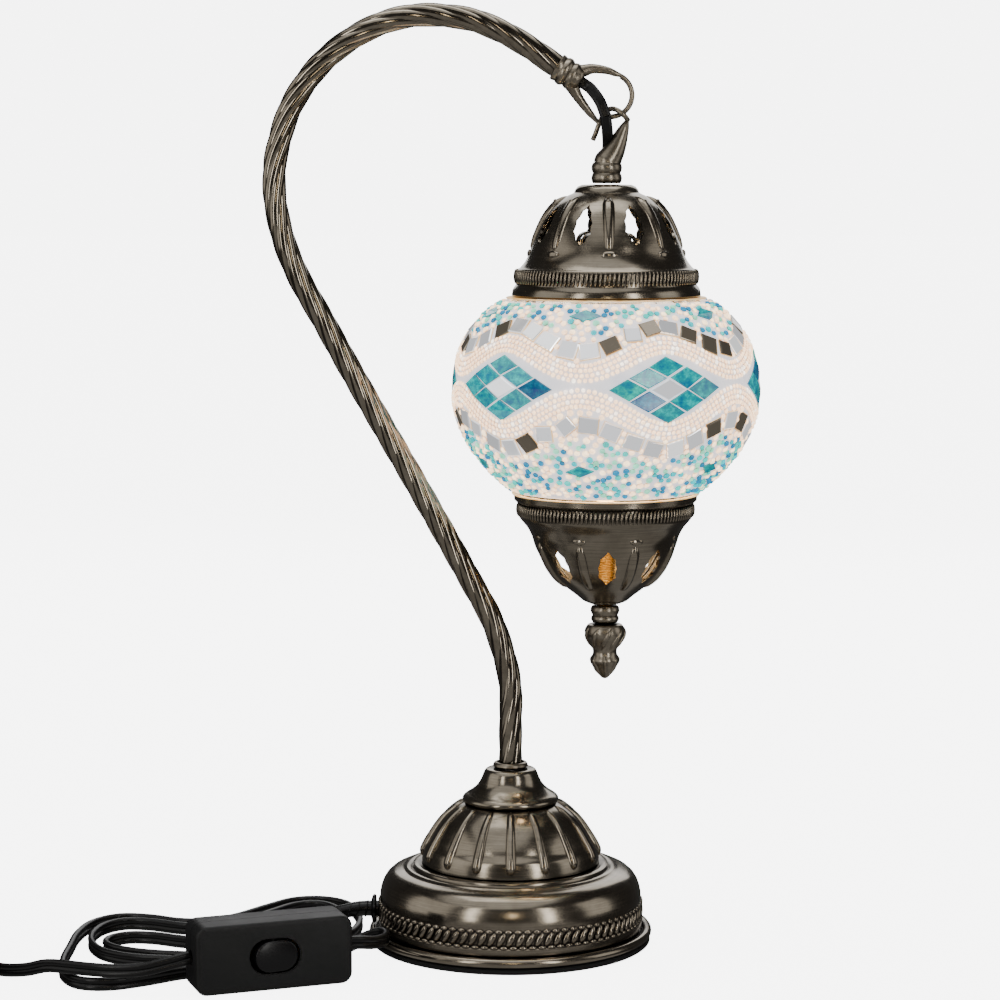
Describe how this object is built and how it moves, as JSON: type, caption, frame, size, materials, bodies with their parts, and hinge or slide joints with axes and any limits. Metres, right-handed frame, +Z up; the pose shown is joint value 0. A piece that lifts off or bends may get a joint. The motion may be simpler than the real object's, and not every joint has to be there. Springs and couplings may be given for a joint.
{
  "type": "table lamp",
  "caption": "Swan-neck table lamp with a twisted arm, a mosaic glass globe hanging from a claw, a ribbed round base and a corded rocker switch.",
  "frame": {"origin": "centre of the base pad's underside", "axes": "+Z up, +X towards the hanging shade, +Y towards the back"},
  "size_m": [0.3658, 0.1665, 0.3666],
  "materials": {
    "bronze": "brushed antique bronze plating on spun steel",
    "cast_bronze": "cast metal with antique bronze plating",
    "steel": "plain plated steel",
    "iron": "rough cast",
    "brass": "plain",
    "foam": "matt foam rubber",
    "black_plastic": "satin moulded",
    "black_flex": "smooth flexible PVC",
    "white_plastic": "satin moulded",
    "clear_glass": "clear blown glass",
    "bulb_glass": "frosted and lit from inside",
    "mosaic": "glass tiles and seed beads set in pale grout"
  },
  "bodies": {
    "stand": {"base_pad": "foam", "base_plate": "bronze", "base_weight": "iron", "base_drum": "bronze", "base_dome": "bronze", "base_cup": "bronze", "arm_seat_ring": "cast_bronze", "base_rod": "steel", "base_nut": "steel", "base_washer": "steel", "grommet": "black_plastic", "strain_relief": "black_plastic", "arm": "bronze", "arm_lead": "black_flex", "arm_head": "cast_bronze", "hanging_ring": "cast_bronze", "switch_front": "black_plastic", "switch_back": "black_plastic", "switch_screw_1": "steel", "switch_screw_2": "steel", "switch_pin": "steel", "switch_spring": "brass", "switch_terminal_left": "brass", "switch_terminal_right": "brass", "cord_lamp_side": "black_flex", "cord_plug_side": "black_flex", "cord_tail": "black_flex", "cord_coil": "black_flex", "coil_tie": "black_plastic", "plug_body": "black_plastic", "plug_blade_left": "brass", "plug_blade_right": "brass"},
    "finial_carrier": {"finial_ferrule": "cast_bronze"},
    "finial": {"finial": "cast_bronze"},
    "rocker": {"switch_rocker": "black_plastic"},
    "hook_link": {"lead_flex": "black_flex"},
    "shade": {"top_cap": "bronze", "top_tube": "steel", "top_nut": "steel", "gallery_strap": "steel", "gallery_nut": "steel", "lamp_holder": "white_plastic", "holder_contact": "brass", "bulb_cap": "steel", "bulb_glass": "bulb_glass", "mosaic_layer": "mosaic", "glass_globe": "clear_glass", "bottom_cap": "bronze", "bottom_tube": "brass", "bottom_nut": "brass", "shade_hook": "cast_bronze", "shade_claw": "cast_bronze"}
  },
  "joints": [
    {"name": "shade_swing", "type": "hinge", "parent": "stand", "child": "hook_link", "pos_m": [0.0384, 0, 0.3233], "axis": [1, 0, 0], "range_deg": [-12, 12], "deforming": ["lead_flex"]},
    {"name": "shade_sway", "type": "hinge", "parent": "hook_link", "child": "shade", "pos_m": [0.0384, 0, 0.3233], "axis": [0, 1, 0], "range_deg": [-10, 5], "deforming": ["lead_flex"]},
    {"name": "finial_travel", "type": "slide", "parent": "shade", "child": "finial_carrier", "axis": [0, 0, -1], "range_m": [0, 0.005]},
    {"name": "finial_turn", "type": "hinge", "parent": "finial_carrier", "child": "finial", "pos_m": [0.037, 0, 0.115], "axis": [0, 0, -1], "range_deg": [0, 1800]},
    {"name": "rocker_tilt", "type": "hinge", "parent": "stand", "child": "rocker", "pos_m": [-0.08908, -0.07075, 0.013], "axis": [0, 0, 1], "range_deg": [-12, 0]}
  ],
  "couplings": [
    {"joint": "finial_travel", "follows": "finial_turn", "m_per_rad": 0.00015915}
  ]
}
